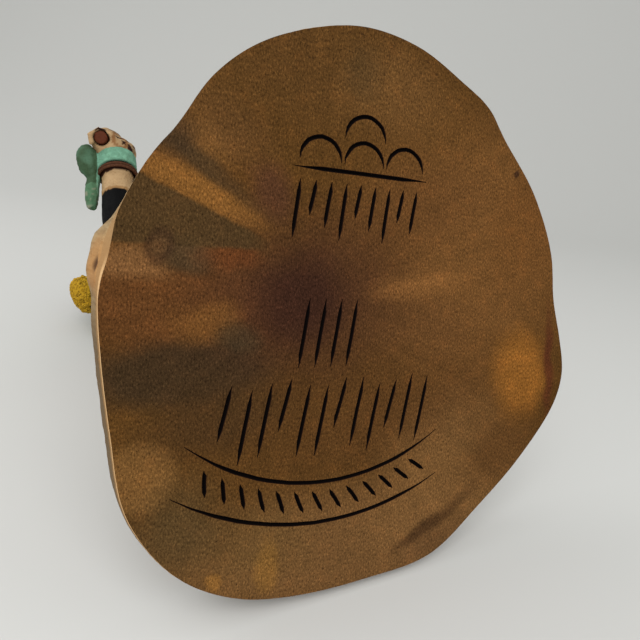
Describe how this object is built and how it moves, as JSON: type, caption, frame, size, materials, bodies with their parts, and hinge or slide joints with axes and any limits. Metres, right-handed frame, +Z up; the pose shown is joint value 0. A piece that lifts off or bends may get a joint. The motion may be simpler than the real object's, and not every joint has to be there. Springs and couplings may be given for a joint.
{
  "type": "kachina doll",
  "caption": "Carved and painted wooden dancer in a helmet mask, kilt and sash, holding a rattle, on an oval slice of root wood.",
  "frame": {"origin": "middle of the slab's underside", "axes": "+Z up the dancer, which faces -Y with its right hand on the -X side"},
  "size_m": [0.151, 0.154, 0.2793],
  "materials": {
    "root_wood": "stained and lightly oiled end grain, unpolished",
    "body_paint": "hand carved wood with matt paint",
    "rattle_paint": "matt red brown paint",
    "tie_paint": "matt blue green paint",
    "tuft_yellow": "rough carved, matt yellow paint"
  },
  "bodies": {
    "root": {"base": "root_wood", "figure": "body_paint", "rattle": "rattle_paint", "wrist_tie_right": "tie_paint", "wrist_tie_left": "tie_paint", "ear_tuft_right": "tuft_yellow", "ear_tuft_left": "tuft_yellow"}
  },
  "joints": []
}
